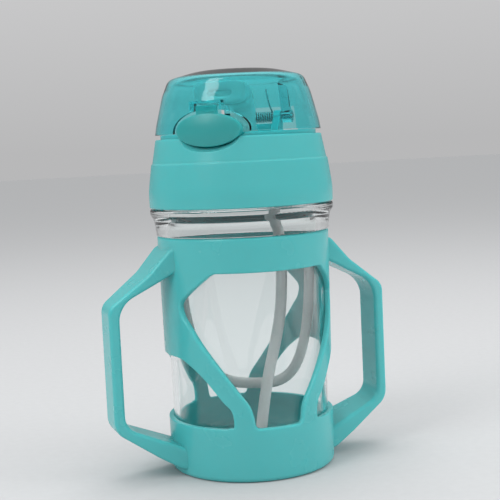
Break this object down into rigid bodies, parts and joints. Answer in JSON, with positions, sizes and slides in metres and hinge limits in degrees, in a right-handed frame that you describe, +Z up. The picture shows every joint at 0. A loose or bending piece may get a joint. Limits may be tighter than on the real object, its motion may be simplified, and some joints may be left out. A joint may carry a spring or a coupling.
{
  "type": "glass water bottle",
  "caption": "Child's straw cup: a round glass bottle in a moulded sleeve with two side handles, and a screw cap whose flip cover springs open over a folding silicone spout.",
  "frame": {"origin": "centre of the sleeve's underside, at table level", "axes": "+Z up along the bottle's axis, handles along X, the sleeve's front window towards -Y; the cap stops turned 40 degrees from the front"},
  "size_m": [0.1302, 0.0822, 0.1776],
  "materials": {
    "sleeve": "moulded turquoise, soft gloss",
    "cap": "moulded turquoise, soft gloss",
    "core": "moulded turquoise",
    "button": "moulded teal, satin",
    "cover": "clear teal plastic, polished",
    "glass": "clear, polished",
    "silicone": "milky, see-through, matt",
    "steel": "drawn wire"
  },
  "bodies": {
    "sleeve": {"handle_sleeve": "sleeve"},
    "bottle": {"glass_bottle": "glass", "spare_straw": "silicone"},
    "seal": {"neck_seal": "silicone"},
    "cap": {"cap_shell": "cap", "cap_core": "core", "straw_connector": "silicone", "straw_tube": "silicone", "vent_valve": "silicone", "spout_root": "silicone", "button_pin": "steel", "button_spring": "steel", "hinge_pin": "steel", "cover_spring": "steel"},
    "cover": {"flip_cover": "cover"},
    "spout": {"spout_tip": "silicone"},
    "button": {"latch_button": "button"}
  },
  "joints": [
    {"name": "bottle_lift", "type": "slide", "parent": "sleeve", "child": "bottle", "axis": [0, 0, 1], "range_m": [0, 0.12]},
    {"name": "cap_rise", "type": "slide", "parent": "bottle", "child": "seal", "axis": [0, 0, 1], "range_m": [0, 0.0076]},
    {"name": "cap_turn", "type": "hinge", "parent": "seal", "child": "cap", "pos_m": [0, 0, 0.125], "axis": [0, 0, 1], "range_deg": [0, 540]},
    {"name": "cover_flip", "type": "hinge", "parent": "cap", "child": "cover", "pos_m": [0.01961, 0.02336, 0.156], "axis": [-0.766, 0.6428, 0], "range_deg": [0, 110], "deforming": ["cover_spring"]},
    {"name": "spout_rise", "type": "hinge", "parent": "cap", "child": "spout", "pos_m": [0.00386, 0.0046, 0.158], "axis": [-0.766, 0.6428, 0], "range_deg": [0, 70]},
    {"name": "button_press", "type": "hinge", "parent": "cap", "child": "button", "pos_m": [-0.01967, -0.02344, 0.1456], "axis": [-0.766, 0.6428, 0], "range_deg": [0, 5], "deforming": ["button_spring"]}
  ],
  "couplings": [
    {"joint": "cap_rise", "follows": "cap_turn", "m_per_rad": 0.00079577},
    {"joint": "spout_rise", "follows": "cover_flip", "ratio": 0.63}
  ]
}
